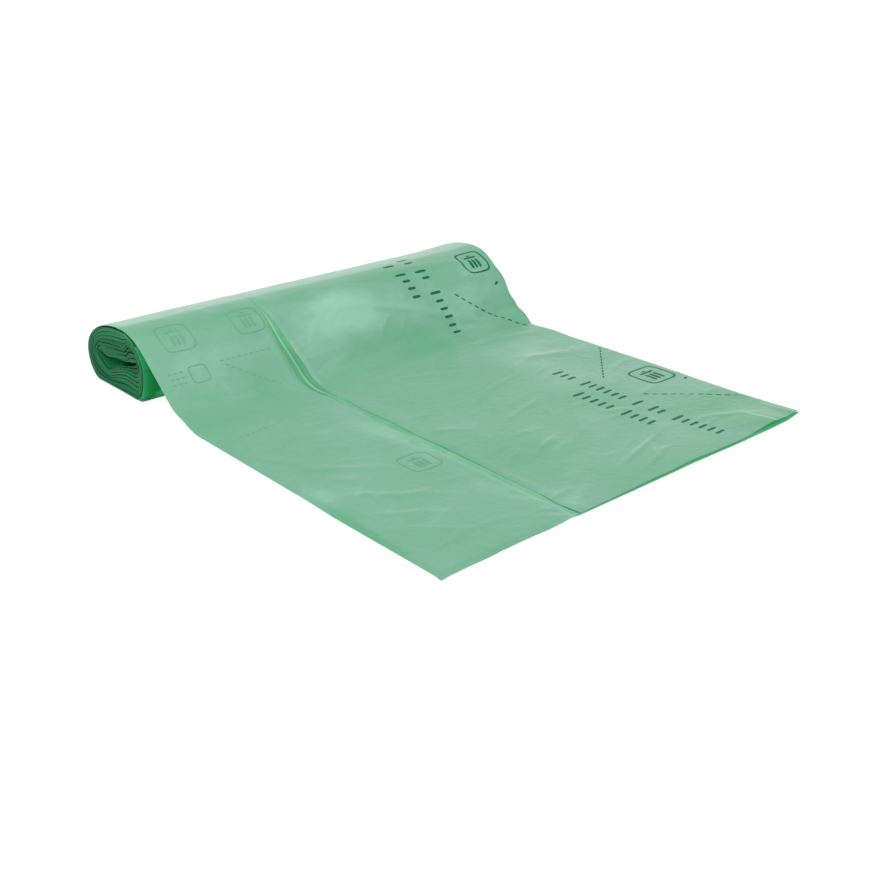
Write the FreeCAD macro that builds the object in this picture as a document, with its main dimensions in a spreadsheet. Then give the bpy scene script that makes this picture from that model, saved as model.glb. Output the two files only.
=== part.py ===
import FreeCAD, Part
import math
import os

# A roll of refuse sacks, in millimetres. It is one long tube of thin film, folded lengthways into a stack
# of plies, wound flat round itself without a core, and left with the leading sack drawn off and laid out.
# X runs along the roll, -Y towards the laid sack's open mouth and +Z up. The floor is Z = 0.

SIZES = (
    ("roll_length", 600.0),      # along the roll, which is also the folded sack's width
    ("laid_length", 454.0),      # flat on the floor, from the mouth to where the film lifts
    ("film_stack", 2.0),         # the folded plies as they lie together
    ("turn_count", 8),           # full turns in the roll
    ("gap_top", 3.5),            # air between turns over the roll
    ("gap_back", 1.6),           # air between turns behind the roll
    ("gap_floor", 3.0),          # air between turns under the roll
    ("gap_front", 0.8),          # air between turns in front of the roll
    ("core_width", 98.8),        # the pressed-flat middle, from its back to its front
    ("core_gap", 3.5),           # air left inside the pressed-flat middle
    ("crown_forward", 28.0),     # the roll's highest line, in front of the middle
    ("back_level", 33.0),        # height of the roll's rearmost line
    ("front_level", 45.0),       # height of the roll's foremost line
    ("back_roundness", 0.95),    # the lower back corner's width over its height
    ("front_roundness", 0.55),   # the lower front corner's width over its height
    ("lift_radius", 50.0),       # where the film curves up off the floor
    ("drape_angle", 44.0),       # slope of the film between floor and roll, in degrees
    ("crown_radius", 90.0),      # where the film curves over on to the roll
    ("seam_inset", 192.0),       # from the left end to where the two folded edges meet
    ("seam_width", 12.0),        # widest opening between the folded edges
    ("seam_middle", 260.0),      # from the mouth to that widest place
    ("mouth_width", 136.0),      # the part of the mouth that gapes, from the right end
    ("mouth_lift", 4.0),         # how far the upper ply lifts there
    ("mouth_depth", 80.0),       # how far in the lift dies out
    ("cut_margin", 10.0),        # how far a cutting shape runs past what it cuts
)

doc = FreeCAD.newDocument("bin_bag_roll")
sheet = doc.addObject("Spreadsheet::Sheet", "sizes")
for row, (alias, value) in enumerate(SIZES, start=1):
    sheet.set("A%d" % row, alias)
    sheet.set("B%d" % row, str(value))
    sheet.setAlias("B%d" % row, alias)
doc.recompute()

roll_length = float(sheet.roll_length)
film_stack = float(sheet.film_stack)
turn_count = int(sheet.turn_count)
drape_angle = math.radians(float(sheet.drape_angle))

# Each turn lies inside the last by the stack and the air beside it, so the middle and the turns give the
# roll's own depth and height.
pitch_top = film_stack + float(sheet.gap_top)
pitch_back = film_stack + float(sheet.gap_back)
pitch_floor = film_stack + float(sheet.gap_floor)
pitch_front = film_stack + float(sheet.gap_front)
core_height = 2 * film_stack + float(sheet.core_gap)
core_level = turn_count * pitch_floor + core_height / 2
roll_height = turn_count * (pitch_floor + pitch_top) + core_height

# The film between floor and roll is an arc, a straight slope and an arc the other way, which together
# climb to the top of the roll.
lift_radius = float(sheet.lift_radius)
crown_radius = float(sheet.crown_radius)
lift_middle = lift_radius - film_stack / 2
crown_middle = crown_radius - film_stack / 2
arc_climb = (lift_middle + crown_middle) * (1 - math.cos(drape_angle))
slope_length = (roll_height - film_stack - arc_climb) / math.sin(drape_angle)
drape_reach = (lift_middle + crown_middle) * math.sin(drape_angle) + slope_length * math.cos(drape_angle)
crown_to_back = float(sheet.crown_forward) + float(sheet.core_width) / 2 + turn_count * pitch_back

total_length = float(sheet.laid_length) + drape_reach + crown_to_back
mouth_y = -total_length / 2
lift_y = mouth_y + float(sheet.laid_length)
crown_y = lift_y + drape_reach
core_y = crown_y + float(sheet.crown_forward)


def point(y, z):
    return FreeCAD.Vector(0, y, z)


def run(start, end):
    """A straight stretch of film."""
    return Part.LineSegment(start, end).toShape()


def arc(foot, corner, middle):
    """The arc that leaves foot along the line to the corner and ends at the middle point."""
    chord = middle - foot
    leg = corner - foot
    side = leg - chord * (leg.dot(chord) / chord.dot(chord))
    side.normalize()
    rise = chord.Length / 2 * math.tan(chord.getAngle(leg) / 2)
    return Part.Arc(foot, foot + chord / 2 + side * rise, middle).toShape()


def bend(start, corner, end):
    """A curved stretch that leaves start and meets end along the lines to their shared corner. It is two
    arcs that meet in the middle of the circle inside the triangle of the three points, and share a
    tangent there. Legs of one length make them one arc."""
    start_leg = (corner - start).Length
    end_leg = (end - corner).Length
    chord = (end - start).Length
    middle = (start * end_leg + end * start_leg + corner * chord) / (start_leg + end_leg + chord)
    return [arc(start, corner, middle), arc(end, corner, middle)]


def leading_film(depth, overrun):
    """The laid sack and the drape, as far as the crown, at a depth below the film's upper face."""
    level = film_stack - depth
    lift_arc = lift_radius - level
    crown_arc = crown_radius - depth
    slope = point(math.cos(drape_angle), math.sin(drape_angle))
    normal = point(-math.sin(drape_angle), math.cos(drape_angle))
    lift_centre = point(lift_y, lift_radius)
    crown_centre = point(crown_y, roll_height - crown_radius)
    laid_start = point(mouth_y - overrun, level)
    lift_start = point(lift_y, level)
    lift_end = lift_centre - normal * lift_arc
    crown_start = crown_centre + normal * crown_arc
    crown_end = point(crown_y, roll_height - depth)
    half_turn = math.tan(drape_angle / 2)
    lift_corner = lift_start + point(lift_arc * half_turn, 0)
    crown_corner = crown_start + slope * crown_arc * half_turn
    edges = [run(laid_start, lift_start)]
    edges += bend(lift_start, lift_corner, lift_end)
    edges.append(run(lift_end, crown_start))
    edges += bend(crown_start, crown_corner, crown_end)
    return edges, laid_start, crown_end


def wound_film(depth):
    """The turns from the crown inwards, at a depth below the film's outer face. Each turn goes over the
    top, down the back, along the floor and up the front, and every line of it moves in by its own pitch."""
    edges = []
    for turn in range(turn_count + 1):
        inward = turn / turn_count
        top = roll_height - turn * pitch_top - depth
        floor = turn * pitch_floor + depth
        back = crown_y + crown_to_back - turn * pitch_back - depth
        front = core_y - float(sheet.core_width) / 2 - (turn_count - turn) * pitch_front + depth
        back_level = float(sheet.back_level) * (1 - inward) + core_level * inward
        front_level = float(sheet.front_level) * (1 - inward) + core_level * inward
        ridge_y = crown_y + float(sheet.crown_forward) * inward
        bare_floor = floor - depth
        back_foot = back + depth - (back_level - bare_floor) * float(sheet.back_roundness)
        front_foot = front - depth + (front_level - bare_floor) * float(sheet.front_roundness)
        inner_end = point(front_foot, floor)
        edges += bend(point(ridge_y, top), point(back, top), point(back, back_level))
        edges += bend(point(back, back_level), point(back, floor), point(back_foot, floor))
        edges.append(run(point(back_foot, floor), inner_end))
        if turn < turn_count:
            next_ridge = crown_y + float(sheet.crown_forward) * (turn + 1) / turn_count
            next_top = top - pitch_top
            edges += bend(inner_end, point(front, floor), point(front, front_level))
            edges += bend(point(front, front_level), point(front, next_top), point(next_ridge, next_top))
    return edges, inner_end


def whole_film(depth):
    laid, mouth_end, _ = leading_film(depth, 0)
    wound, inner_end = wound_film(depth)
    return laid + wound, mouth_end, inner_end


def band(upper, lower):
    """The face between two lines of the film, each given as its edges and its two ends."""
    upper_edges, upper_start, upper_end = upper
    lower_edges, lower_start, lower_end = lower
    across_ends = [run(upper_start, lower_start), run(upper_end, lower_end)]
    return Part.Face(Part.Wire(Part.__sortEdges__(upper_edges + lower_edges + across_ends)))


def section(name, face):
    made = doc.addObject("Part::Feature", name)
    made.Shape = face
    return made


def across(name, base, width):
    """A section carried along the roll, half its width to each side."""
    made = doc.addObject("Part::Extrusion", name)
    made.Base = base
    made.DirMode = "Custom"
    made.Dir = FreeCAD.Vector(1, 0, 0)
    made.Symmetric = True
    made.Solid = True
    made.setExpression("LengthFwd", width)
    return made


def cylinder(name, base, rotation):
    made = doc.addObject("Part::Cylinder", name)
    made.Placement = FreeCAD.Placement(base, rotation)
    return made


def boolean(kind, name, base, tool):
    made = doc.addObject(kind, name)
    made.Base = base
    made.Tool = tool
    return made


# The whole tube: the laid sack, the drape and every turn, as one band of film.
film_section = section("film_section", band(whole_film(0), whole_film(film_stack)))
film = across("film", film_section, "sizes.roll_length")

# The two folded edges of the upper plies meet along the laid sack and up the drape. The opening between
# them is a long lens, half the stack deep, that closes half way round the crown. It is the part of the
# upper skin where two wide upright cylinders overlap.
cut_margin = float(sheet.cut_margin)
seam_x = float(sheet.seam_inset) - roll_length / 2
seam_y = mouth_y + float(sheet.seam_middle)
seam_end = crown_y - crown_radius * math.sin(drape_angle) / 2
seam_half = seam_end - seam_y
seam_bulge = float(sheet.seam_width) / 2
seam_radius = (seam_half ** 2 + seam_bulge ** 2) / (2 * seam_bulge)
skin_over = leading_film(-cut_margin, cut_margin)
skin_under = leading_film(film_stack / 2, cut_margin)
skin = across("upper_skin", section("upper_skin_section", band(skin_over, skin_under)), "sizes.roll_length")
upright = FreeCAD.Rotation()
lens_side = FreeCAD.Vector(seam_radius - seam_bulge, 0, 0)
lens_middle = FreeCAD.Vector(seam_x, seam_y, -cut_margin)
lens_left = cylinder("seam_lens_left", lens_middle - lens_side, upright)
lens_right = cylinder("seam_lens_right", lens_middle + lens_side, upright)
for half_lens in (lens_left, lens_right):
    half_lens.Radius = seam_radius
    half_lens.Height = roll_height + 2 * cut_margin
lens = boolean("Part::Common", "seam_lens", lens_left, lens_right)
seam = boolean("Part::Common", "seam_opening", skin, lens)

# At the right end the upper ply lifts off the lower one and the mouth gapes. Both faces of the lifted ply
# are shallow cylinders about one axis that tips down towards the roll, so the lift dies out inwards.
mouth_width = float(sheet.mouth_width)
mouth_lift = float(sheet.mouth_lift)
mouth_bow = (mouth_width ** 2 / 4 + mouth_lift ** 2) / (2 * mouth_lift)
mouth_tip = math.atan2(mouth_lift, float(sheet.mouth_depth))
inwards = FreeCAD.Vector(0, math.cos(mouth_tip), -math.sin(mouth_tip))
upwards = FreeCAD.Vector(0, math.sin(mouth_tip), math.cos(mouth_tip))
mouth_top = FreeCAD.Vector(roll_length / 2 - mouth_width / 2, mouth_y, film_stack + mouth_lift)
bow_base = mouth_top - upwards * mouth_bow - inwards * cut_margin
bow_turn = FreeCAD.Rotation(FreeCAD.Vector(0, 0, 1), inwards)
ply_bow = cylinder("lifted_ply_bow", bow_base, bow_turn)
ply_bow.Radius = mouth_bow
ply_bow.setExpression("Height", "sizes.mouth_depth + 2 * sizes.cut_margin")
air_bow = cylinder("mouth_air_bow", bow_base, bow_turn)
air_bow.Radius = mouth_bow - film_stack / 2
air_bow.setExpression("Height", "lifted_ply_bow.Height")


def mouth_block(name, depth, overrun):
    """The room over the lower ply that the lift can take up, starting past the mouth by the overrun."""
    made = doc.addObject("Part::Box", name)
    made.setExpression("Length", "sizes.mouth_width")
    made.setExpression("Width", depth)
    made.setExpression("Height", "sizes.film_stack + sizes.mouth_lift")
    corner = FreeCAD.Vector(roll_length / 2 - mouth_width, mouth_y - overrun, film_stack / 2)
    made.Placement = FreeCAD.Placement(corner, upright)
    return made


hood_block = mouth_block("hood_block", "sizes.mouth_depth", 0)
air_block = mouth_block("mouth_air_block", "sizes.mouth_depth + sizes.cut_margin", cut_margin)
hood = boolean("Part::Common", "mouth_hood", ply_bow, hood_block)
hollow = boolean("Part::Common", "mouth_hollow", air_bow, air_block)

with_hood = boolean("Part::Fuse", "film_with_hood", film, hood)
with_seam = boolean("Part::Cut", "film_with_seam", with_hood, seam)
bag_roll = boolean("Part::Cut", "bag_roll", with_seam, hollow)
bag_roll.Label = "bag_roll"
doc.recompute()

for made in doc.Objects:
    if "Invalid" in made.State or "Error" in made.State:
        raise RuntimeError("%s did not build" % made.Name)
if bag_roll.Shape.isNull() or not bag_roll.Shape.isValid():
    raise RuntimeError("bag_roll is not a valid shape")
if len(bag_roll.Shape.Solids) != 1:
    raise RuntimeError("bag_roll is not one solid")

box = bag_roll.Shape.BoundBox
print("bag_roll: %.1f x %.1f x %.1f mm, %.0f mm3" % (box.XLength, box.YLength, box.ZLength,
                                                     bag_roll.Shape.Volume))
os.makedirs("parts", exist_ok=True)
bag_roll.Shape.exportStep("parts/bag_roll.step")
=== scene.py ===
import math

import bpy
import numpy as np
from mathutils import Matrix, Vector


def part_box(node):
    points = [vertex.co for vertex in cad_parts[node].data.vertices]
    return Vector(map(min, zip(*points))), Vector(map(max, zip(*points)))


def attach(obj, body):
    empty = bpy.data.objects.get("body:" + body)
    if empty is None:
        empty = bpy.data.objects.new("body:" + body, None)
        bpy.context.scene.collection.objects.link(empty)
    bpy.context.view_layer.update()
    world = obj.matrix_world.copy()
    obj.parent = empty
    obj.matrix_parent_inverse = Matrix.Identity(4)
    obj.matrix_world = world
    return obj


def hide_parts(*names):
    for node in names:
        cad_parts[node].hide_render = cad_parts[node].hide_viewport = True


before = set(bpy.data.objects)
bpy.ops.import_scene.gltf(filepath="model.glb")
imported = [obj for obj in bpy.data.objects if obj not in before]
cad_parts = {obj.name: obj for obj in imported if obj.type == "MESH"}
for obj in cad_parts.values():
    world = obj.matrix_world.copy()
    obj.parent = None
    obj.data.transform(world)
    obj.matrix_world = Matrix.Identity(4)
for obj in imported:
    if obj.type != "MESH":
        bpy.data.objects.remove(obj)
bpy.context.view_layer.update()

part_low, part_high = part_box("bag_roll")

# The laid sack's lower plies. They are one run of soft compostable film: it lies flat from the mouth,
# bends up, slopes to the crown, goes over and round the roll, and ends under the crown behind the drape.
# Each ply was blown as a tube, laid flat, folded lengthways and wound with the next sack.
half_roll = part_high.x
mouth_y = part_low.y
back_y = part_high.y
roll_top = part_high.z
film_stack = 0.002
lift_radius = 0.050
crown_radius = 0.088
left_slope = math.radians(40)
right_slope = math.radians(48)
crown_settle = 0.0007
right_rise = 0.0040
crown_y = back_y - 0.1062
left_crown_shift = 0.007
right_crown_shift = 0.003
front_y = back_y - 0.150
turn_count = 8
top_pitch, back_pitch, floor_pitch, front_pitch = 0.0055, 0.0036, 0.0050, 0.0028
back_level, front_level, core_level = 0.033, 0.045, 0.04375
back_roundness, front_roundness = 0.82, 0.55
core_shift = 0.028


def wound_point(phase, share):
    """The winding's line at a phase, which counts the turns from the crown, as y and z. Each turn is a
    quarter ellipse down the back, one into the floor, a straight run, a quarter ellipse up the front and
    one over on to the next turn, and every line of it moves in by its own pitch. The share is how much of
    a pitch the line lies inside the outer face."""
    turn = np.floor(phase)
    part = phase - turn
    inward = (turn + share) / turn_count
    top = roll_top - (turn + share) * top_pitch
    back = back_y - (turn + share) * back_pitch
    floor = (turn + share) * floor_pitch
    front = front_y + (turn + share) * front_pitch
    back_mid = back_level + (core_level - back_level) * inward
    front_mid = front_level + (core_level - front_level) * inward
    ridge = crown_y + core_shift * inward
    next_ridge = ridge + core_shift / turn_count
    next_top = top - top_pitch
    foot = back - (back_mid - floor) * back_roundness
    toe = front + (front_mid - floor) * front_roundness
    down_end, under_end, along_end, up_end = 0.28, 0.41, 0.61, 0.76
    quarter = math.pi / 2
    down = quarter * part / down_end
    under = quarter * (part - down_end) / (under_end - down_end)
    along = (part - under_end) / (along_end - under_end)
    up = quarter * (part - along_end) / (up_end - along_end)
    over = quarter * (part - up_end) / (1 - up_end)
    stage = [part < down_end, part < under_end, part < along_end, part < up_end, part >= up_end]
    y = np.select(stage, [ridge + (back - ridge) * np.sin(down), foot + (back - foot) * np.cos(under),
                          foot + (toe - foot) * along, toe - (toe - front) * np.sin(up),
                          next_ridge - (next_ridge - front) * np.cos(over)])
    z = np.select(stage, [back_mid + (top - back_mid) * np.cos(down),
                          back_mid - (back_mid - floor) * np.sin(under), floor,
                          front_mid - (front_mid - floor) * np.cos(up),
                          front_mid + (next_top - front_mid) * np.sin(over)])
    return y, z


outer_y, outer_z = wound_point(np.linspace(0, 0.9999, 240), film_stack / top_pitch)
outer_length = np.concatenate([[0], np.cumsum(np.hypot(np.diff(outer_y), np.diff(outer_z)))])
outer_angle = np.unwrap(np.arctan2(np.gradient(outer_z, outer_length), np.gradient(outer_y, outer_length)))


def film_line(length, across):
    """The underside of the leading film: y, z and slope at a length from the mouth and a place across.
    A flat run, an arc up, a straight slope, an arc over, and then the outer turn's own line. The slope
    steepens from the left end to the right one, where the roll's corner rises a little, by a high power of
    the place across. At both ends the film bows up off the floor before the arc: a squared cosine along,
    fading inwards."""
    share = (across + half_roll) / (2 * half_roll)
    slope = left_slope + (right_slope - left_slope) * share
    shift = left_crown_shift + (right_crown_shift - left_crown_shift) * share
    rise = roll_top - film_stack - crown_settle + right_rise * share ** 14
    arcs = lift_radius + crown_radius
    straight = (rise - arcs * (1 - np.cos(slope))) / np.sin(slope)
    laid = crown_y + shift - arcs * np.sin(slope) - straight * np.cos(slope) - mouth_y
    lifting = np.clip((length - laid) / lift_radius, 0, slope)
    up = np.clip(length - laid - lift_radius * slope, 0, straight)
    over = np.clip((length - laid - lift_radius * slope - straight) / crown_radius, 0, slope)
    y = mouth_y + np.minimum(length, laid) + lift_radius * np.sin(lifting) + up * np.cos(slope)
    y = y + crown_radius * (np.sin(slope) - np.sin(slope - over))
    z = lift_radius * (1 - np.cos(lifting)) + up * np.sin(slope)
    z = z + crown_radius * (np.cos(slope - over) - np.cos(slope))
    round_roll = length - laid - arcs * slope - straight + shift
    gone_over = round_roll > shift
    y = np.where(gone_over, np.interp(round_roll, outer_length, outer_y), y)
    z = np.where(gone_over, np.interp(round_roll, outer_length, outer_z) * rise / (roll_top - film_stack), z)
    angle = np.where(gone_over, np.interp(round_roll, outer_length, outer_angle), lifting - over)
    middle = laid + 0.015 + 0.010 * share
    reach = 0.036 - 0.012 * share
    bow = np.cos(math.pi / 2 * np.clip((length - middle) / reach, -1, 1)) ** 2
    fade = 0.2 + 0.8 * np.abs(across / half_roll) ** 5
    bow_height = 0.0070
    return y, z + bow_height * bow * fade, angle


def film_point(length, across, level):
    """The film's line moved out by a level along its own normal, as points, with that normal."""
    y, z, angle = film_line(length, across)
    normal = np.stack([0 * angle, -np.sin(angle), np.cos(angle)], axis=-1)
    return np.stack([across + 0 * y, y, z], axis=-1) + normal * np.asarray(level)[..., None], normal


def smooth_step(value):
    """0 below 0, 1 above 1, and an S between them: 3 squares less 2 cubes."""
    value = np.clip(value, 0, 1)
    return value * value * (3 - 2 * value)


def through(place, spots):
    """A smooth line through a few (place, value) spots, level at each of them."""
    places, values = np.array(spots, float).T
    cell = np.clip(np.searchsorted(places, place) - 1, 0, len(places) - 2)
    part = smooth_step((place - places[cell]) / (places[cell + 1] - places[cell]))
    return values[cell] + (values[cell + 1] - values[cell]) * part


def left_edge(length):
    """Where the sack's left fold runs. It stands a little proud of the roll along the laid sack."""
    return through(length, ((0, -0.3009), (0.16, -0.3021), (0.22, -0.3005), (0.42, -0.2998), (0.46, -0.3000),
                            (0.53, -0.2996), (1.2, -0.2995)))


def right_edge(length):
    """Where the sack's right fold runs: it wavers a little, and pulls in where the film slopes."""
    return through(length, ((0, 0.2970), (0.06, 0.2985), (0.10, 0.2970), (0.22, 0.2985), (0.34, 0.2970),
                            (0.38, 0.2960), (0.42, 0.2983), (0.46, 0.2938), (0.475, 0.2966), (0.51, 0.2982),
                            (0.527, 0.2962), (0.555, 0.2998), (0.58, 0.2962), (0.62, 0.2998), (1.2, 0.2995)))


def mouth_cut(across):
    """How far in from the mouth's line the film is cut: a wavering line, further out at the left corner
    and further in at the right one."""
    return through(across, ((-0.31, -0.0033), (-0.25, -0.0026), (-0.20, -0.0016), (-0.16, -0.0020),
                            (-0.12, -0.0003), (0.04, 0.0003), (0.08, 0.0013), (0.115, 0.0002),
                            (0.17, -0.0014), (0.23, -0.0010), (0.26, 0.0003), (0.297, 0.0030),
                            (0.31, 0.0032)))


def film_piece(name, patches):
    """A piece of film made of closed patches. Each patch is a grid of points on its upper face, the same
    grid on its lower face and a strip round the edge. A patch also gives each upper and lower point its
    place on the piece's own map, and a tone from 0, deep green, to 1, pale."""
    points, faces, maps, tones = [], [], [], []
    start = 0
    for top, bottom, top_map, bottom_map, tone in patches:
        rows, columns = top.shape[:2]
        count = rows * columns
        at = start + np.arange(count).reshape(rows, columns)
        upper = np.stack([at[:-1, :-1], at[:-1, 1:], at[1:, 1:], at[1:, :-1]], axis=-1).reshape(-1, 4)
        strips = [(at[0, :-1], at[0, 1:]), (at[:-1, -1], at[1:, -1]), (at[-1, 1:], at[-1, :-1]),
                  (at[1:, 0], at[:-1, 0])]
        faces += [upper, upper[:, ::-1] + count]
        faces += [np.stack([a, a + count, b + count, b], axis=-1) for a, b in strips]
        points += [top.reshape(-1, 3), bottom.reshape(-1, 3)]
        maps += [top_map.reshape(-1, 2), bottom_map.reshape(-1, 2)]
        tones += [np.broadcast_to(tone, (rows, columns)).ravel()] * 2
        start += 2 * count
    points, faces, maps, tones = (np.concatenate(rows) for rows in (points, faces, maps, tones))
    mesh = bpy.data.meshes.new(name)
    mesh.vertices.add(len(points))
    mesh.vertices.foreach_set("co", points.ravel())
    mesh.loops.add(faces.size)
    mesh.loops.foreach_set("vertex_index", faces.ravel().astype(np.int32))
    mesh.polygons.add(len(faces))
    mesh.polygons.foreach_set("loop_start", np.arange(0, faces.size, 4, dtype=np.int32))
    mesh.polygons.foreach_set("use_smooth", np.ones(len(faces), bool))
    mesh.update(calc_edges=True)
    mesh.uv_layers.new(name="film_map").data.foreach_set("uv", maps[faces.ravel()].ravel())
    mesh.attributes.new("tone", "FLOAT", "POINT").data.foreach_set("value", tones.astype(np.float32))
    mesh.set_sharp_from_angle(angle=math.radians(50))
    piece = bpy.data.objects.new(name, mesh)
    bpy.context.scene.collection.objects.link(piece)
    return piece


def add_node(tree, kind, **values):
    """A new node of a kind in a material's tree, with the values set on the sockets of those names."""
    made = tree.nodes.new("ShaderNode" + kind)
    for name, value in values.items():
        made.inputs[name.replace("_", " ")].default_value = value
    return made


def times_plus(tree, value, factor, added):
    """The value times the factor, plus what is added. Each of them is another node's socket or a number."""
    made = add_node(tree, "Math")
    made.operation = "MULTIPLY_ADD"
    for socket, given in zip(made.inputs, (value, factor, added)):
        if isinstance(given, bpy.types.NodeSocket):
            tree.links.new(given, socket)
        else:
            socket.default_value = given
    return made.outputs[0]


def film_material(name, colours, roughness, cloud_size=8, crinkle=0.6, painted_glow=0, gloss=0.5, bloom=0):
    """Film whose green runs through the colours, deep to pale: by the tone that the piece carries, which on
    some pieces is painted light and shade, by cloudy patches where air and folded plies lie under it, and by
    thin pale lines along its crinkles and along straight creases, which are the walls of long slanted cells.
    Where other film covers it, a faint painted glow of its own stands for the light that shines through that
    film. The bloom is the whitish haze of this film where it turns away from the eye."""
    made = bpy.data.materials.new(name)
    made.use_nodes = True
    tree = made.node_tree
    join = tree.links.new
    shader = tree.nodes["Principled BSDF"]
    place = add_node(tree, "UVMap")
    place.uv_map = "film_map"
    carried = add_node(tree, "Attribute")
    carried.attribute_name = "tone"
    clouds = add_node(tree, "TexNoise", Scale=cloud_size, Detail=6, Roughness=0.62, Distortion=0.4)
    lines = add_node(tree, "TexNoise", Scale=9, Detail=5, Distortion=0.6)
    lines.noise_type = "RIDGED_MULTIFRACTAL"
    wander = add_node(tree, "TexNoise", Scale=5)
    fine = add_node(tree, "TexNoise", Scale=45, Detail=6, Distortion=1.5)
    for noise in (clouds, lines, wander, fine):
        join(place.outputs["UV"], noise.inputs["Vector"])
    bent = add_node(tree, "VectorMath")
    bent.operation = "MULTIPLY_ADD"
    bent.inputs[1].default_value = (0.10, 0.10, 0)
    join(wander.outputs["Color"], bent.inputs[0])
    join(place.outputs["UV"], bent.inputs[2])
    slant = add_node(tree, "Mapping", Rotation=(0, 0, -0.5), Scale=(0.7, 2.8, 1))
    join(bent.outputs["Vector"], slant.inputs["Vector"])
    cells = add_node(tree, "TexVoronoi", Scale=11)
    cells.feature = "DISTANCE_TO_EDGE"
    join(slant.outputs["Vector"], cells.inputs["Vector"])
    walls = add_node(tree, "MapRange", From_Max=0.07, To_Min=1, To_Max=0)
    join(cells.outputs["Distance"], walls.inputs["Value"])
    here = add_node(tree, "MapRange", From_Min=0.47, From_Max=0.62)
    join(clouds.outputs["Fac"], here.inputs["Value"])
    folds = times_plus(tree, walls.outputs["Result"], here.outputs["Result"], 0)
    cloudy = times_plus(tree, clouds.outputs["Fac"], 1.5, carried.outputs["Fac"])
    streaked = times_plus(tree, lines.outputs["Fac"], 0.30, cloudy)
    creased = times_plus(tree, folds, 0.12, streaked)
    tone = add_node(tree, "MapRange", From_Min=0.89, From_Max=1.99)
    join(creased, tone.inputs["Value"])
    colour = add_node(tree, "ValToRGB")
    if len(colours) > 2:
        colour.color_ramp.elements.new(0.5)
    for element, shade in zip(colour.color_ramp.elements, colours):
        element.color = (*shade, 1)
    join(tone.outputs["Result"], colour.inputs["Fac"])
    join(colour.outputs["Color"], shader.inputs["Base Color"])
    join(colour.outputs["Color"], shader.inputs["Emission Color"])
    height = times_plus(tree, lines.outputs["Fac"], 0.8, fine.outputs["Fac"])
    raised = times_plus(tree, folds, 0.15, height)
    bump = add_node(tree, "Bump", Strength=crinkle, Distance=0.001)
    join(raised, bump.inputs["Height"])
    join(bump.outputs["Normal"], shader.inputs["Normal"])
    for socket, value in (("Roughness", roughness), ("IOR", 1.48), ("Specular IOR Level", gloss),
                          ("Emission Strength", painted_glow), ("Sheen Weight", bloom),
                          ("Sheen Roughness", 0.35)):
        shader.inputs[socket].default_value = value
    return made


def finish_piece(piece, material):
    """Gives a piece its film and says that it rides on, and stands for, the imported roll."""
    piece.data.materials.append(material)
    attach(piece, "root")
    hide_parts("bag_roll")


sheet_film = film_material("mint_film", ((0.098, 0.362, 0.194), (0.152, 0.396, 0.262), (0.246, 0.522, 0.376)),
                           0.36, bloom=0.4)
ply_thickness = 0.0007


def corner_lift(length, across):
    """How far the right corner of the mouth stands off the floor: a smooth rise towards it both ways."""
    return 0.0020 * smooth_step((across - 0.262) / 0.036) * smooth_step(1 - length / 0.075) ** 1.5


def lower_ply_patch(first, last, rows):
    """The lower plies from one length to another, just inside the sack's own folds. At the mouth they stop
    short under the left panel, and reach past the upper ply's cut towards the right corner."""
    share = np.linspace(0, 1, 76)[None, :]
    run = np.linspace(0, 1, rows)[:, None]
    across = 0.997 * (left_edge(first + (last - first) * run) * (1 - share)
                      + right_edge(first + (last - first) * run) * share)
    cut = mouth_cut(across) * (0.6 + 0.4 * smooth_step((across - 0.275) / 0.02))
    cut = (cut + 0.005 * smooth_step((-0.112 - across) / 0.01)) * (first == 0)
    length = first + 0.0004 + cut + (last - first - cut) * run
    top, normal = film_point(length, across, ply_thickness + 0.0001 + corner_lift(length, across))
    flat = np.stack([across, length], axis=-1)
    return top, top - normal * ply_thickness, flat, flat, 0.5


# The lower plies carry a painted glow: painted light for what comes through the panels above them.
lower_film = film_material("lower_film", ((0.106, 0.395, 0.212), (0.235, 0.560, 0.365)), 0.36,
                           painted_glow=0.42)
lower_plies = film_piece("lower_plies", [lower_ply_patch(0, 0.645, 150)])
finish_piece(lower_plies, lower_film)

# The same plies from the crown down the back and under the roll. The upper plies cover them there, so
# only their cut sides show, as dark as the ends of the turns inside.
turn_film = film_material("turn_film", ((0.003, 0.070, 0.025), (0.020, 0.200, 0.085)), 0.6, cloud_size=14,
                          gloss=0.2)
outer_plies = film_piece("outer_plies", [lower_ply_patch(0.645, 0.84, 70)])
finish_piece(outer_plies, turn_film)

# The front of the roll, where the same plies come up behind the drape. Light reaches them only through the
# green film in front; their strong emerald and their glow are painted light that stands for it, with
# streaks where the plies part from each other. Their tone across the roll is painted light and shade: pale
# at the roll's end, a painted shadow a little way in, paler beyond, and painted light on the low part near
# the floor, away from the roll's end.
front_film = film_material("front_film", ((0, 0.152, 0.030), (0.036, 0.300, 0.130)), 0.5, cloud_size=22,
                           crinkle=0.45, painted_glow=0.40, gloss=0.15)
front_patch = lower_ply_patch(0.84, 1.06, 110)
front_across, front_length = front_patch[2][..., 0], front_patch[2][..., 1]
front_painted_light_and_shade = through(front_across, ((-0.30, 1.05), (-0.2962, 0.90), (-0.2915, 0.35), (-0.284, 0.10),
                                    (-0.262, -0.10), (-0.235, 0.55), (0.0, 0.60), (0.30, 0.60)))
front_painted_light_and_shade += 1.1 * smooth_step((front_across + 0.2805) / 0.003) * smooth_step((0.927 - front_length) / 0.006)
front_toe = 0.0025 * smooth_step((front_across + 0.298) / 0.03) \
    * smooth_step(1 - np.abs(front_length - 0.905) / 0.035)
front_patch[0][..., 1] -= front_toe
front_patch[1][..., 1] -= front_toe
front_plies = film_piece("front_plies", [front_patch[:4] + (front_painted_light_and_shade,)])
finish_piece(front_plies, front_film)

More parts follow.
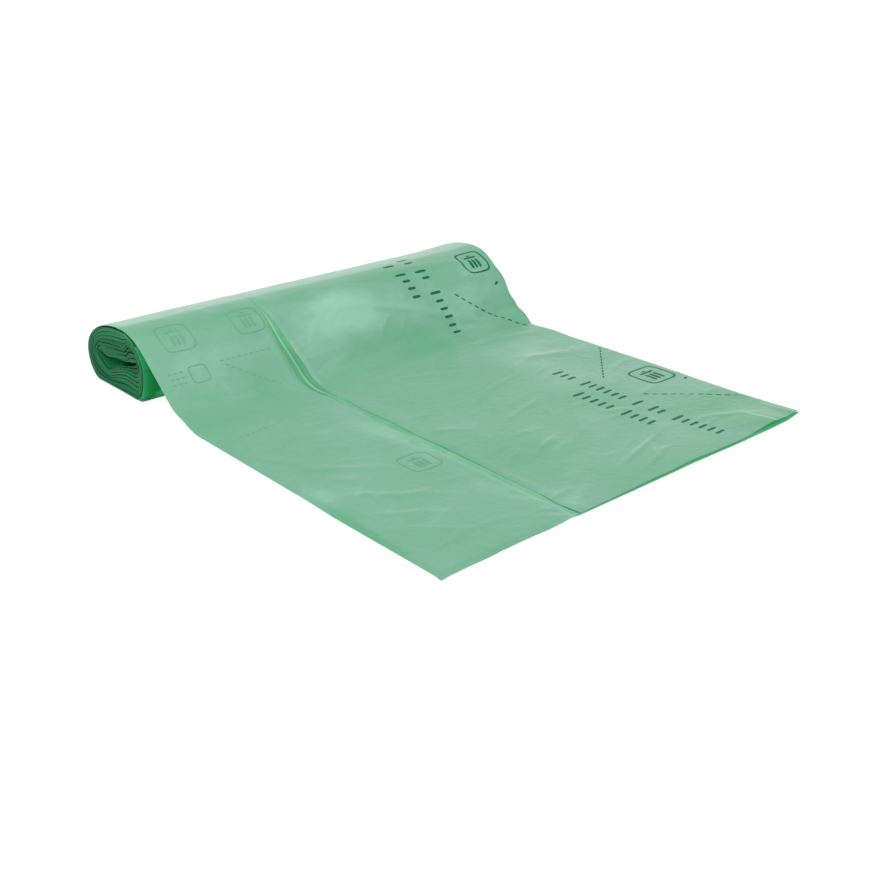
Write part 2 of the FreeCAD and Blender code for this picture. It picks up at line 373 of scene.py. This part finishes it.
# The wound turns inside: the other sacks, lay on lay, with a hair of air between one turn and the next.
# The roll has no core, so its middle has been pressed flat and has folded into an S. The lays' cut ends
# are uneven, and the inner ones sit back a little.
core_front = front_y + turn_count * front_pitch
core_back = back_y - turn_count * back_pitch
kink_y, swell_y = 0.2345, 0.2530


def bell(value, middle, wide):
    """1 at the middle, falling off to both sides as a bell that is so wide."""
    return np.exp(-((value - middle) / wide) ** 2)


def collapse(y, z, inward):
    """The pressed middle, as a shift of z. At the front the turns crowd up towards the outer one, by a
    bell of the gap between them. The middle sags behind that, the lower turns swell up under it, and at
    the back they are squeezed down, which leaves a hollow."""
    along = (y - core_front) / (core_back - core_front)
    shoulder_y = crown_y + 0.010
    ahead = np.clip((shoulder_y - y) / (shoulder_y - front_y), 0, 1)
    outer = front_level + (roll_top - film_stack - front_level) * np.sqrt(1 - ahead ** 2)
    press = 0.40 * np.exp(-((y - kink_y) / 0.0140) ** 4) * smooth_step((z - 0.026) / 0.030)
    press = press * (1 - 0.75 * np.clip(inward, 0, 1) ** 5)
    tip = 0.0055 * bell(along, 0, 0.10)
    sag = 0.0065 * smooth_step((along - 0.22) / 0.35) * smooth_step((1.00 - along) / 0.22)
    swell = 0.0070 * bell(y, swell_y, 0.030) * np.sin(math.pi * np.clip(z / 0.040, 0, 1))
    depth = np.clip(inward, 0, 1) ** 1.5
    lower = smooth_step((0.0520 - z) / 0.010) * smooth_step(inward / 0.4)
    squeeze = 0.24 * smooth_step((along - 0.50) / 0.30) * smooth_step((1.12 - along) / 0.25)
    return z * (1 - squeeze * lower) + (outer - z) * press * (outer > z) + (tip - sag) * depth \
        + swell * smooth_step(inward / 0.3)


def wound_lay(first, last, rows, outer_share, inner_share, recess):
    """One lay of film wound in: its outer and inner lines, given as shares of the pitch at each phase,
    are carried across the roll to an uneven end at each side. The map runs along the turns and, from 0
    to 1, through the lay's thickness."""
    phase = np.linspace(first, last - 0.0001, rows)
    end_inset, end_wander = 0.0012, 0.0007
    sides = []
    for share in (outer_share(phase), inner_share(phase)):
        y, z = wound_point(phase, share)
        z = collapse(y, z, (phase + share - 0.5) / turn_count)
        wander = np.sin(5.1 * phase) + 0.6 * np.sin(13.7 * phase + 1.3) + 0.4 * np.sin(31 * phase)
        end = half_roll - end_inset + end_wander * wander - recess * (phase / turn_count) ** 2
        across = np.linspace(-1, 1, 9)[None, :] * end[:, None]
        sides.append(np.stack([across, y[:, None] + 0 * across, z[:, None] + 0 * across], axis=-1))
    along = np.broadcast_to(0.37 * phase[:, None], across.shape)
    maps = [np.stack([along, 0 * along + through_lay], axis=-1) for through_lay in (0, 1)]
    tone = 1.0 - 0.75 * smooth_step(phase / turn_count)[:, None] + 0.35 * np.sin(7.3 * phase)[:, None]
    return sides[0], sides[1], maps[0], maps[1], tone


def turn_start(phase):
    """The lay's outer line. It starts under the drape's crown with no thickness, lies below the leading
    film for one turn, and takes its place from then on."""
    starting = 0.95 - 0.52 * smooth_step(phase / 0.22)
    return np.where(phase < 0.5, starting, 0.43 - 0.40 * smooth_step((phase - 0.93) / 0.10))


def turn_end(phase):
    """The lay's inner line. The gap that it leaves to the next turn comes and goes round the roll, and
    the film's inner end tapers out in the middle."""
    gap = 0.5 + 0.5 * np.sin(11.3 * phase + 2.0 * np.sin(2.9 * phase))
    return 0.96 - 0.20 * gap * smooth_step(phase) - 0.70 * smooth_step((phase - turn_count + 0.22) / 0.22)


wound_film = bpy.data.materials.new("wound_film")
wound_film.use_nodes = True
ply_tree = wound_film.node_tree
ply_shader = ply_tree.nodes["Principled BSDF"]
ply_shader.inputs["Roughness"].default_value = 0.7
ply_shader.inputs["Specular IOR Level"].default_value = 0.15
ply_map = add_node(ply_tree, "UVMap")
ply_map.uv_map = "film_map"
ply_stretch = add_node(ply_tree, "Mapping", Scale=(5, 4.5, 1))
ply_tree.links.new(ply_map.outputs["UV"], ply_stretch.inputs["Vector"])
ply_lines = add_node(ply_tree, "TexNoise", Scale=1, Detail=4, Roughness=0.7)
ply_tree.links.new(ply_stretch.outputs["Vector"], ply_lines.inputs["Vector"])
ply_tone = add_node(ply_tree, "Attribute")
ply_tone.attribute_name = "tone"
ply_colour = add_node(ply_tree, "ValToRGB")
for element, place, colour in zip(ply_colour.color_ramp.elements, (0.42, 0.92),
                                  ((0.002, 0.068, 0.022), (0.020, 0.200, 0.080))):
    element.position = place
    element.color = (*colour, 1)
ply_sum = times_plus(ply_tree, ply_tone.outputs["Fac"], 0.22, ply_lines.outputs["Fac"])
ply_tree.links.new(ply_sum, ply_colour.inputs["Fac"])
ply_tree.links.new(ply_colour.outputs["Color"], ply_shader.inputs["Base Color"])

wound_turns = film_piece("wound_turns", [wound_lay(0, turn_count, 1100, turn_start, turn_end, 0.004)])
finish_piece(wound_turns, wound_film)

# The innermost ply's own face, which shows in the hollow where the middle gapes at the back. Its tone is
# painted light and shade: a painted shadow under the turns above, and painted light on its lower half,
# where light falls there; it also has a faint painted glow.
core_film = film_material("core_film", ((0, 0.030, 0.008), (0.008, 0.230, 0.080)), 0.5, cloud_size=20,
                          crinkle=0.45, painted_glow=0.12, gloss=0.15)
core_patch = wound_lay(turn_count - 0.97, turn_count - 0.03, 160, lambda phase: np.full(160, 0.965),
                       lambda phase: np.full(160, 1.01), 0.0035)
core_part = np.linspace(0.03, 0.97, 160)[:, None]
core_painted_light_and_shade = through(core_part, ((0, -0.5), (0.20, -0.4), (0.30, 1.0), (0.45, 1.1), (0.56, -0.2), (1, -0.5)))
core_face = film_piece("core_face", [core_patch[:4] + (core_painted_light_and_shade,)])
finish_piece(core_face, core_film)

# The sack's upper plies: two folded panels that meet a third of the way across. Their folded edges part
# into a narrow opening along the laid sack and up the drape, and stay shut over the crown.
panel_level = 0.0011
panel_thickness = 0.0003
panel_length = 0.86


def seam_line(length):
    """The middle of the opening between the panels. It bows to the left up the drape and then veers
    right over the crown."""
    return through(length, ((0, -0.1085), (0.20, -0.1080), (0.264, -0.1070), (0.368, -0.1062),
                            (0.43, -0.1048), (0.50, -0.1068), (0.56, -0.1105), (0.61, -0.1115),
                            (0.66, -0.109), (0.74, -0.070), (0.86, -0.055)))


def seam_half(length):
    """Half the width of that opening, pinched in four places."""
    return through(length, ((0, 0.0042), (0.03, 0.0015), (0.06, 0.0044), (0.16, 0.0050), (0.215, 0.0060),
                            (0.264, 0.0036), (0.315, 0.0066), (0.368, 0.0042), (0.40, 0.0058),
                            (0.425, 0.0034), (0.447, 0.0070), (0.47, 0.0090), (0.50, 0.0098), (0.54, 0.0083),
                            (0.57, 0.0061), (0.59, 0.0036), (0.612, 0.0004), (0.86, 0.0002)))


def gape(length, across):
    """How far the upper ply stands off the lower ones at the mouth, dying out inwards. It is least at the
    seam and most near the right corner."""
    edge = through(across, ((-0.30, 0.0002), (-0.112, 0.0003), (-0.105, 0.0008), (-0.02, 0.0018),
                            (0.09, 0.0024), (0.17, 0.0030), (0.2385, 0.0080), (0.2450, 0.0060),
                            (0.280, 0.0034), (0.298, 0.0010)))
    return edge * smooth_step(1 - length / 0.09) ** 1.3


creases = (
    ((-0.300, 0.160), (-0.175, 0.070), 0.005, 0.0010), ((-0.300, 0.215), (-0.150, 0.105), 0.006, 0.0011),
    ((-0.295, 0.120), (-0.200, 0.040), 0.005, 0.0008), ((-0.290, 0.300), (-0.150, 0.190), 0.007, 0.0012),
    ((-0.300, 0.370), (-0.245, 0.260), 0.006, 0.0009), ((-0.270, 0.245), (-0.220, 0.205), 0.008, 0.0010),
    ((-0.260, 0.060), (-0.130, 0.035), 0.005, 0.0006), ((-0.300, 0.512), (-0.170, 0.488), 0.006, 0.0014),
    ((-0.300, 0.480), (-0.120, 0.452), 0.009, 0.0010), ((-0.290, 0.560), (-0.190, 0.530), 0.010, 0.0010),
    ((-0.010, 0.040), (0.150, 0.088), 0.0032, 0.0014), ((0.010, 0.016), (0.110, 0.052), 0.0036, 0.0010),
    ((-0.100, 0.270), (-0.030, 0.225), 0.005, 0.0009), ((-0.060, 0.090), (0.090, 0.160), 0.007, 0.0008),
    ((-0.105, 0.300), (-0.055, 0.345), 0.004, 0.0007), ((0.130, 0.385), (0.290, 0.325), 0.010, 0.0012),
    ((-0.040, 0.600), (0.240, 0.495), 0.006, 0.0020), ((-0.010, 0.622), (0.170, 0.560), 0.007, 0.0018),
    ((0.080, 0.550), (0.295, 0.470), 0.006, 0.0016), ((0.100, 0.625), (0.300, 0.590), 0.009, 0.0018),
    ((0.190, 0.600), (0.300, 0.545), 0.007, 0.0020), ((-0.100, 0.480), (0.050, 0.462), 0.010, 0.0010),
    ((0.150, 0.455), (0.300, 0.430), 0.008, 0.0012), ((-0.040, 0.430), (0.060, 0.395), 0.005, 0.0008),
    ((0.060, 0.690), (0.290, 0.670), 0.009, 0.0012), ((-0.280, 0.690), (-0.120, 0.700), 0.010, 0.0010),
    ((-0.020, 0.215), (0.110, 0.255), 0.004, 0.0009), ((0.020, 0.300), (0.140, 0.330), 0.004, 0.0008),
    ((0.030, 0.125), (0.120, 0.215), 0.005, 0.0010), ((0.170, 0.090), (0.275, 0.020), 0.006, 0.0006),
)
strays = np.random.default_rng(11)
stray_spots = strays.uniform((-0.29, 0.02), (0.29, 0.80), (230, 2))
stray_turns = np.where(stray_spots[:, 0] < -0.10, -0.45, 0.35) + strays.normal(0, 0.35, 230)
stray_sizes = strays.uniform(0.02, 0.09, 230)


def crease(length, across, start, end, width, height):
    """A soft ridge from start to end: a bell across it, and along it a squared sine that dies out at both
    ends. Places are (across, length)."""
    run_x, run_s = end[0] - start[0], end[1] - start[1]
    size = math.hypot(run_x, run_s)
    along = ((across - start[0]) * run_x + (length - start[1]) * run_s) / size ** 2
    off = ((across - start[0]) * run_s - (length - start[1]) * run_x) / size
    arch = np.sin(math.pi * np.clip(along, 0, 1)) ** 2
    return height * arch * bell(off, 0, width)


def wrinkles(length, across):
    """The film's wrinkles: broad air pockets, the creases that show, and many short faint ones."""
    height = 0.0006 * (1 + np.sin(21 * length + 9 * across + 0.6) * np.sin(17 * across - 6 * length + 1.1))
    height = height + 0.0004 * (1 + np.sin(47 * length - 30 * across) * np.sin(39 * across + 13 * length))
    for start, end, width, tall in creases:
        height = height + crease(length, across, start, end, width, tall)
    for spot, turn, size in zip(stray_spots, stray_turns, stray_sizes):
        end = spot + size * np.array([math.cos(turn), math.sin(turn)])
        height = height + crease(length, across, spot, end, 0.0022 + size / 30, 0.0002 + size / 160)
    return height


def panel_height(length, across):
    """How far a panel's upper face stands above the lower plies' underside: the plies, the gape at the
    mouth, the wrinkles, lower where the roll pulls the film taut, the ridge along the crown, and the curl
    of its edge beside the opening. It comes down to the lower plies at the sack's side folds, over a wider
    strip near the mouth on the left, and sinks into them under the roll, where it ends."""
    beside = np.abs(across - seam_line(length)) - seam_half(length)
    curl = through(length, ((0, 0.0004), (0.3, 0.0005), (0.45, 0.0008), (0.56, 0.0008), (0.62, 0), (0.86, 0)))
    curled = curl * bell(np.clip(beside, 0, 1), 0.006, 0.004)
    curled = curled - 0.0003 * np.exp(-beside / 0.0015)
    calm = smooth_step(beside / 0.012) * 0.7 + 0.3
    ridge = 0.0005 * bell(length, 0.640, 0.007)
    to_left = across - left_edge(length)
    to_right = right_edge(length) - across
    left_strip = through(length, ((0, 0.010), (0.16, 0.010), (0.26, 0.004), (0.86, 0.004)))
    shut = smooth_step(to_left / left_strip) * smooth_step(to_right / 0.004)
    taut = 1 - 0.6 * smooth_step((length - 0.595) / 0.035) - 0.3 * smooth_step((length - 0.74) / 0.08)
    rise = (wrinkles(length, across) * calm + curled) * taut + ridge
    pressed = 0.0012 * smooth_step(1 - length / 0.006) * smooth_step((-0.112 - across) / 0.01)
    pressed = pressed + 0.0009 * smooth_step((length - 0.79) / 0.065)
    return panel_level - 0.0002 * (1 - shut) - pressed + panel_thickness + gape(length, across) \
        + corner_lift(length, across) + rise * (0.25 + 0.75 * shut)


# Painted shade among these ovals: the one at across -0.297 (the left fold), the two at length 0.612 (just
# below the crown) and the one at across 0.270 (the mouth's right corner).
tone_and_shade_patches = (
    (-0.130, 0.250, 0.016, 0.180, 0.35), (-0.297, 0.110, 0.005, 0.090, -0.60),
    (-0.210, 0.440, 0.070, 0.035, -0.35), (0.070, 0.480, 0.110, 0.035, -0.20),
    (-0.180, 0.612, 0.150, 0.016, -0.12), (0.100, 0.612, 0.200, 0.012, -0.12),
    (-0.220, 0.550, 0.090, 0.038, 0.36), (0.000, 0.560, 0.100, 0.040, 0.85),
    (0.160, 0.400, 0.090, 0.030, 0.15), (0.050, 0.080, 0.090, 0.040, 0.05),
    (0.030, 0.330, 0.080, 0.050, -0.10), (-0.040, 0.160, 0.070, 0.045, -0.30),
    (0.210, 0.100, 0.070, 0.040, 0.10), (-0.200, 0.230, 0.060, 0.040, 0.15),
    (0.210, 0.540, 0.085, 0.048, 0.42), (-0.240, 0.040, 0.050, 0.030, -0.25),
    (0.190, 0.270, 0.060, 0.040, 0.10), (0.270, 0.040, 0.055, 0.055, -1.10),
)


def film_tone(length, across):
    """Where the sheet is deeper or paler: a sum of soft ovals, each (across, length, half width, half
    length, amount). Most are for the places where plies lie tight or air lies under them; four are painted
    shade: one along the left fold, two in a band just below the crown, and one at the mouth's lifted right
    corner."""
    tone = 0.5 + 0 * length * across
    for middle_x, middle_s, wide, long, amount in tone_and_shade_patches:
        tone = tone + amount * bell(across, middle_x, wide) * bell(length, middle_s, long)
    return tone


def panel_patch(inner_edge, outer_edge, columns):
    """A panel between two lines along the sack, as a grid that follows both and starts at the cut."""
    run = np.linspace(0, 1, 288)[:, None]
    share = np.linspace(0, 1, columns)[None, :]
    across = inner_edge(panel_length * run) * (1 - share) + outer_edge(panel_length * run) * share
    cut = mouth_cut(across)
    length = cut + (panel_length - cut) * run
    top, normal = film_point(length, across, panel_height(length, across))
    flat = np.stack([across, length], axis=-1)
    return top, top - normal * panel_thickness, flat, flat, film_tone(length, across)


def seam_left(length):
    """The left panel's folded edge: the opening's middle less half its width."""
    return seam_line(length) - seam_half(length)


def seam_right(length):
    """The right panel's folded edge: the opening's middle and half its width."""
    return seam_line(length) + seam_half(length)


left_patch = panel_patch(left_edge, seam_left, 66)
right_patch = panel_patch(seam_right, right_edge, 132)
left_panel = film_piece("left_panel", [left_patch])
right_panel = film_piece("right_panel", [right_patch])
for side, width in ((left_panel, 0.19), (right_panel, 0.40)):
    finish_piece(side, sheet_film)

# The print on the panels, in green ink straight on the film. Its places hold plain marks: rows of
# upright strokes, rows of dashes, and a bin in a rounded frame. On the laid sack and the drape's right the
# ink is strong, and on the left it shows faintly, because it is on the ply below.


def on_panel(patch, edges, across, length, lift):
    """The place on a panel's upper face at an across and a length, a little way up from it: the four grid
    points round it are blended by how near it is to each."""
    top = patch[0]
    run = (length - mouth_cut(across)) / (panel_length - mouth_cut(across))
    inner, outer = (edge(panel_length * run) for edge in edges)
    row = np.clip(run, 0, 0.9999) * (top.shape[0] - 1)
    column = np.clip((across - inner) / (outer - inner), 0, 0.9999) * (top.shape[1] - 1)
    r, c = row.astype(int), column.astype(int)
    down, right = (row - r)[..., None], (column - c)[..., None]
    spot = (top[r, c] * (1 - down) + top[r + 1, c] * down) * (1 - right) \
        + (top[r, c + 1] * (1 - down) + top[r + 1, c + 1] * down) * right
    return spot + film_point(length, across, lift)[1] * lift


def mark_patch(across, length):
    """A grid of places on the sheet as a thin closed patch of ink on whichever panel it lies."""
    left = across.mean() < seam_line(length.mean())
    patch, edges = (left_patch, (left_edge, seam_left)) if left else (right_patch, (seam_right, right_edge))
    flat = np.stack([across, length], axis=-1)
    top = on_panel(patch, edges, across, length, 0.00012)
    return top, on_panel(patch, edges, across, length, -0.0001), flat, flat, 0.5


def bar(middle, turn, half_long, half_wide):
    """A rounded bar: its width falls off towards both ends, by an eighth power. The turn is the angle
    from across the roll towards the roll."""
    along = np.linspace(-1, 1, 2 * int(half_long / 0.0025) + 3)[:, None]
    beside = np.linspace(-1, 1, 2 * int(half_wide / 0.0025) + 3)[None, :]
    long, wide = half_long * along + 0 * beside, half_wide * beside * np.sqrt(1 - 0.8 * along ** 8)
    return mark_patch(middle[0] + long * math.cos(turn) - wide * math.sin(turn),
                      middle[1] + long * math.sin(turn) + wide * math.cos(turn))


def frame_line(middle, half, wide):
    """A rounded square line: its distance from the middle is that of a fifth-power curve."""
    around = np.linspace(0, 2 * math.pi, 53)[:, None]
    reach = (np.abs(np.cos(around)) ** 5 + np.abs(np.sin(around)) ** 5) ** -0.2
    out = np.array([[half, half - wide]])
    return mark_patch(middle[0] + reach * out * np.cos(around), middle[1] + reach * out * np.sin(around))


def stroke_row(start, end, groups, tall):
    """Upright strokes from start to end in groups of so many strokes, with the first of each group taller."""
    start, end = np.array(start), np.array(end)
    turn = math.atan2(end[1] - start[1], end[0] - start[0])
    places = sum(groups) + len(groups) - 1
    lead = [sum(groups[:i]) + i for i in range(len(groups))]
    spots = [first + i for first, count in zip(lead, groups) for i in range(count)]
    return [bar(start + (end - start) * (spot + 0.5) / places, turn + math.pi / 2,
                tall * (0.5 if spot in lead else 0.37), 0.0023) for spot in spots]


def dash_row(start, end, count, thick):
    """Short dashes from start to end."""
    start, end = np.array(start), np.array(end)
    turn = math.atan2(end[1] - start[1], end[0] - start[0])
    half = 0.33 * np.hypot(*(end - start)) / count
    return [bar(start + (end - start) * (i + 0.5) / count, turn, half, thick) for i in range(count)]


def bin_frame(middle, half, wide):
    """A bin in a rounded frame: a lid, its knob and a body of three staves."""
    x, s = middle
    staves = [bar((x + 0.30 * half * i, s - 0.22 * half), math.pi / 2, 0.38 * half, 0.10 * half)
              for i in (-1, 0, 1)]
    return [frame_line(middle, half, wide), bar((x, s + 0.36 * half), 0, 0.50 * half, 0.08 * half),
            bar((x, s + 0.55 * half), 0, 0.14 * half, 0.06 * half)] + staves


strong_marks = stroke_row((0.1705, 0.300), (0.1705, 0.023), (3, 6, 1, 2, 6), 0.021) \
    + stroke_row((0.135, 0.230), (0.135, 0.097), (5, 4), 0.021) \
    + stroke_row((0.165, 0.650), (0.165, 0.485), (2, 2, 6), 0.019) \
    + stroke_row((0.130, 0.640), (0.130, 0.555), (1, 4), 0.019) \
    + dash_row((0.202, 0.240), (0.290, 0.325), 11, 0.0011) \
    + dash_row((0.198, 0.172), (0.290, 0.084), 11, 0.0011) \
    + dash_row((0.195, 0.552), (0.284, 0.461), 11, 0.0011) \
    + bin_frame((0.262, 0.208), 0.026, 0.0026) + bin_frame((0.264, 0.596), 0.023, 0.0026) \
    + [bar((0.287, 0.171), 0.5, 0.004, 0.0018), bar((0.280, 0.550), 0.5, 0.004, 0.0018)]
print_ink = film_material("print_ink", ((0, 0.105, 0.055), (0.008, 0.165, 0.092)), 0.45, gloss=0.2)
print_marks = film_piece("print_marks", strong_marks)
finish_piece(print_marks, print_ink)

faint_marks = bin_frame((-0.247, 0.592), 0.023, 0.0022) + bin_frame((-0.142, 0.592), 0.022, 0.0022) \
    + bin_frame((-0.150, 0.205), 0.022, 0.0020) + [frame_line((-0.243, 0.533), 0.013, 0.0018)] \
    + dash_row((-0.285, 0.541), (-0.262, 0.541), 3, 0.0014) \
    + dash_row((-0.285, 0.533), (-0.262, 0.533), 3, 0.0014) \
    + dash_row((-0.285, 0.525), (-0.262, 0.525), 3, 0.0014) \
    + dash_row((-0.210, 0.543), (-0.130, 0.543), 9, 0.0010) \
    + dash_row((-0.205, 0.538), (-0.142, 0.487), 9, 0.0010) \
    + dash_row((-0.270, 0.394), (-0.213, 0.400), 6, 0.0012)
faint_ink = film_material("faint_ink", ((0.085, 0.310, 0.185), (0.170, 0.400, 0.275)), 0.33)
print_below = film_piece("print_below", faint_marks)
finish_piece(print_below, faint_ink)

# The fold that shows in the opening between the panels: a ridge of the same film, a single ply thick
# there, so light comes through it and it looks a brighter green. Its glow is painted light, and its tone
# across it is painted light and shade: on the drape a painted shadow left of the ridge, a painted highlight
# on the ridge and lighter painted shade right of it; on the laid sack painted shade along both sides.
fold_length = 0.62
fold_along = np.linspace(0.0006, fold_length, 260)[:, None]
fold_share = np.linspace(-1, 1, 25)[None, :]
fold_x = seam_line(fold_along) + fold_share * (seam_half(fold_along) + 0.002)
fold_s = fold_along + 0 * fold_x
fold_ridge = 0.0012 * bell(fold_share, -0.12, 0.16) * smooth_step((0.61 - fold_s) / 0.1)
fold_top, fold_normal = film_point(fold_s, fold_x, 0.0008 + 0.0004 * (1 - fold_share ** 2) + fold_ridge)
fold_flat = np.stack([fold_x, fold_s], axis=-1)
fold_up = smooth_step((fold_s - 0.39) / 0.05)
fold_drape = 0.42 - 0.45 * bell(fold_share, -0.52, 0.26) + 0.62 * bell(fold_share, -0.12, 0.14) \
    - 0.25 * bell(fold_share, 0.25, 0.18)
fold_laid = 0.72 - 0.32 * bell(fold_share, 0.50, 0.16) - 0.15 * bell(fold_share, -0.20, 0.13)
fold_painted_light_and_shade = fold_drape * fold_up + fold_laid * (1 - fold_up)
bright_film = film_material("bright_film",
                            ((0.052, 0.300, 0.118), (0.128, 0.410, 0.232), (0.142, 0.590, 0.280)), 0.32,
                            cloud_size=14, crinkle=0.45, painted_glow=0.10)
seam_fold = film_piece("seam_fold", [(fold_top, fold_top - 0.0002 * fold_normal,
                                      fold_flat, fold_flat, fold_painted_light_and_shade)])
finish_piece(seam_fold, bright_film)

# The mouth's lining: the inner face of the lower ply, which shows where the mouth gapes at the right.
# Light comes through the ply above it; its clear bright green and its strong glow are painted light that
# stands for that.
lining_depth = 0.06
lining_x = np.linspace(-0.10, 0.2955, 100)[None, :]
lining_run = np.linspace(0, 1, 24)[:, None]
lining_cut = 0.6 * mouth_cut(lining_x) + 0.0015 + 0.0030 * smooth_step((lining_x - 0.15) / 0.08)
lining_s = lining_cut + (lining_depth - lining_cut) * lining_run
lining_x = lining_x + 0 * lining_s
lining_level = ply_thickness + 0.0003 + corner_lift(lining_s, lining_x)
lining_top, lining_normal = film_point(lining_s, lining_x, lining_level)
lining_flat = np.stack([lining_x, lining_s], axis=-1)
lining_film = film_material("lining_film", ((0.090, 0.370, 0.170), (0.025, 0.380, 0.115)), 0.35,
                            cloud_size=14, crinkle=0.45, painted_glow=0.6)
lining_tone = -0.1 + 1.2 * smooth_step((lining_x - 0.18) / 0.06)
mouth_lining = film_piece("mouth_lining", [(lining_top, lining_top - 0.0002 * lining_normal,
                                            lining_flat, lining_flat, lining_tone)])
finish_piece(mouth_lining, lining_film)

# The studio: a pale floor, a wide soft light overhead, one from the left for the roll's end, and a pale
# surround that is brightest near the horizon, as white walls are. The floor glows white to the camera, but
# not under the roll, where the shadow at its foot stays dark.
floor_mesh = bpy.data.meshes.new("floor")
floor_mesh.from_pydata([(-20, -20, 0), (20, -20, 0), (20, 20, 0), (-20, 20, 0)], [], [(0, 1, 2, 3)])
floor = bpy.data.objects.new("floor", floor_mesh)
bpy.context.scene.collection.objects.link(floor)
floor_paint = bpy.data.materials.new("floor_paint")
floor_paint.use_nodes = True
paint_tree = floor_paint.node_tree
floor_shader = paint_tree.nodes["Principled BSDF"]
floor_shader.inputs["Base Color"].default_value = (0.9, 0.9, 0.9, 1)
floor_shader.inputs["Roughness"].default_value = 0.9
floor_shader.inputs["Specular IOR Level"].default_value = 0
glow = add_node(paint_tree, "Emission", Strength=1.12)
ray = add_node(paint_tree, "LightPath")
floor_place = add_node(paint_tree, "TexCoord")
floor_ways = add_node(paint_tree, "SeparateXYZ")
paint_tree.links.new(floor_place.outputs["Object"], floor_ways.inputs["Vector"])
roll_foot = (("X", 0, 0.2965), ("Y", 0.28325, 0.06275))
within_roll = []
for way, middle, half in roll_foot:
    within = add_node(paint_tree, "Math")
    within.operation = "COMPARE"
    within.inputs[1].default_value = middle
    within.inputs[2].default_value = half
    paint_tree.links.new(floor_ways.outputs[way], within.inputs[0])
    within_roll.append(within.outputs[0])
camera_glow = 0.80
under_roll = times_plus(paint_tree, within_roll[0], within_roll[1], 0)
beside_roll = times_plus(paint_tree, under_roll, -camera_glow, camera_glow)
seen = times_plus(paint_tree, ray.outputs["Is Camera Ray"], beside_roll, 0)
blend = add_node(paint_tree, "MixShader")
paint_tree.links.new(seen, blend.inputs["Fac"])
paint_tree.links.new(floor_shader.outputs["BSDF"], blend.inputs[1])
paint_tree.links.new(glow.outputs["Emission"], blend.inputs[2])
paint_tree.links.new(blend.outputs["Shader"], paint_tree.nodes["Material Output"].inputs["Surface"])
floor_mesh.materials.append(floor_paint)

world = bpy.data.worlds.new("studio")
world.use_nodes = True
sky_tree = world.node_tree
sky = sky_tree.nodes["Background"]
sky.inputs["Color"].default_value = (1, 1, 1, 1)
sky_ray = add_node(sky_tree, "LightPath")
sky_way = add_node(sky_tree, "TexCoord")
sky_height = add_node(sky_tree, "SeparateXYZ")
sky_fall = add_node(sky_tree, "MapRange", From_Min=0.16, From_Max=0.42, To_Min=1.35, To_Max=0.55)
sky_fall.interpolation_type = "SMOOTHSTEP"
sky_level = add_node(sky_tree, "Mix", B=1.0)
sky_tree.links.new(sky_way.outputs["Generated"], sky_height.inputs["Vector"])
sky_tree.links.new(sky_height.outputs["Z"], sky_fall.inputs["Value"])
sky_tree.links.new(sky_ray.outputs["Is Camera Ray"], sky_level.inputs["Factor"])
sky_tree.links.new(sky_fall.outputs["Result"], sky_level.inputs["A"])
sky_tree.links.new(sky_level.outputs["Result"], sky.inputs["Strength"])
bpy.context.scene.world = world


def soft_light(name, place, aim, size, power):
    """A square soft light at a place, turned to face the aim."""
    lamp = bpy.data.lights.new(name, "AREA")
    lamp.size = size
    lamp.energy = power
    made = bpy.data.objects.new(name, lamp)
    bpy.context.scene.collection.objects.link(made)
    made.location = place
    towards = np.array(aim) - np.array(place)
    pitch = math.acos(-towards[2] / np.linalg.norm(towards))
    made.rotation_euler = (pitch, 0, math.atan2(towards[1], towards[0]) - math.pi / 2)


soft_light("overhead", (0.1, -0.1, 2.2), (0, 0, 0), 2.6, 26)
soft_light("from_left", (-1.8, 0.4, 1.1), (0, 0.1, 0), 1.2, 14)

# The camera stands left of the sack's mouth and looks down along the sack at the roll. Its place, turn and
# lens were fitted to the sheet's corners and edges.
lens = bpy.data.cameras.new("camera")
lens.lens = 49.42
lens.sensor_width = 36
camera = bpy.data.objects.new("camera", lens)
bpy.context.scene.collection.objects.link(camera)
camera.location = (-0.9408, mouth_y - 0.7246, 0.5782)
camera.rotation_euler = (math.radians(90 - 23.984), 0, math.radians(-41.226))
bpy.context.scene.camera = camera
bpy.context.scene.view_settings.view_transform = "Standard"
